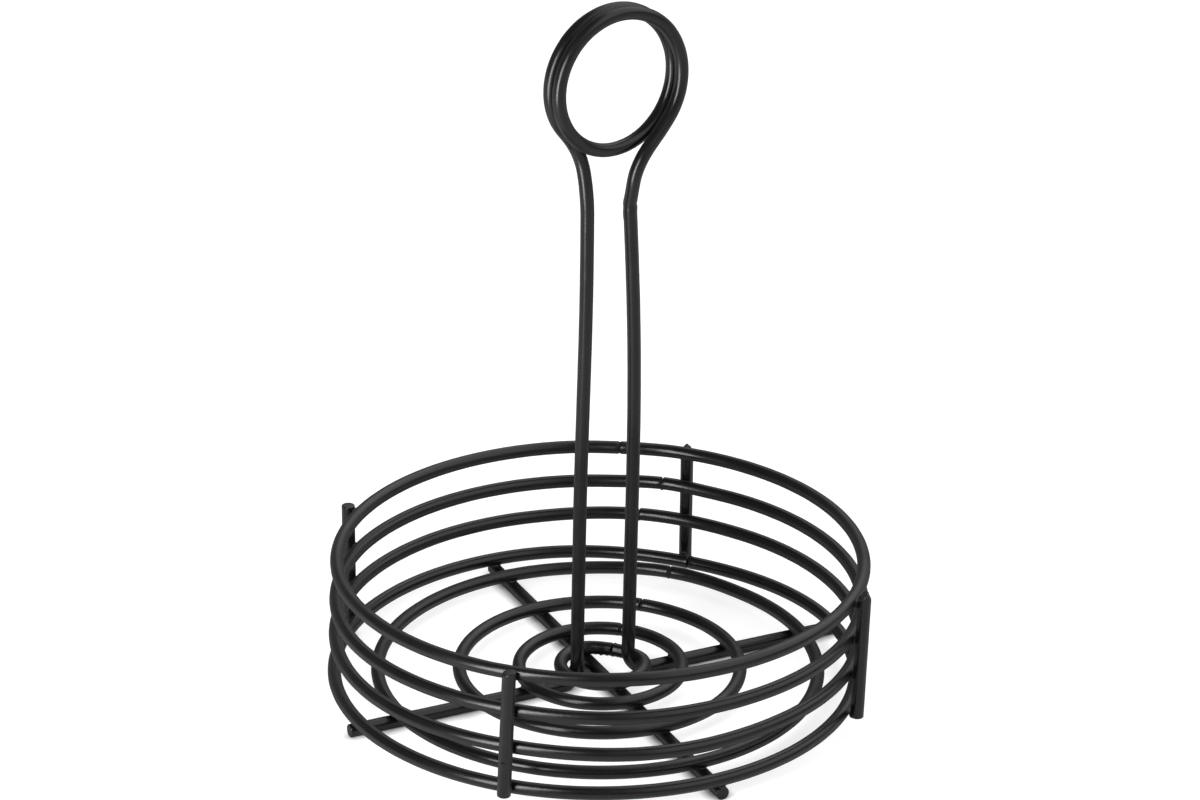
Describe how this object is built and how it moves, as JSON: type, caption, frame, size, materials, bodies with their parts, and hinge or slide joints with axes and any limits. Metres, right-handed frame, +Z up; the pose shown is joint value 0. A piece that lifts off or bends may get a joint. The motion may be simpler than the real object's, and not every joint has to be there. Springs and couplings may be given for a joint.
{
  "type": "condiment caddy",
  "caption": "Round welded wire condiment caddy: an open ring basket for bottles and jars, carried by a central handle with a coiled finger loop.",
  "frame": {"origin": "centre of the basket on the table, where the undersides of the cross bar and the handle's legs touch it", "axes": "+Z up along the handle, +X along the right leg of the handle, +Y along the cross bar, away from the front"},
  "size_m": [0.171, 0.171, 0.2262],
  "materials": {
    "wire_coat": "satin black powder coat",
    "weld_coat": "satin black powder coat over rough weld"
  },
  "bodies": {
    "root": {"rim_ring": "wire_coat", "upper_wall_ring": "wire_coat", "lower_wall_ring": "wire_coat", "bottom_wall_ring": "wire_coat", "outer_floor_ring": "wire_coat", "middle_floor_ring": "wire_coat", "inner_floor_ring": "wire_coat", "hub_ring": "wire_coat", "upright_back_right": "wire_coat", "upright_back_left": "wire_coat", "upright_front_left": "wire_coat", "upright_front_right": "wire_coat", "cross_bar": "wire_coat", "handle_wire": "wire_coat", "wall_welds": "weld_coat", "cross_bar_welds": "weld_coat", "handle_leg_welds": "weld_coat", "hub_welds": "weld_coat", "wall_ring_butt_welds": "weld_coat", "floor_ring_butt_welds": "weld_coat"}
  },
  "joints": []
}
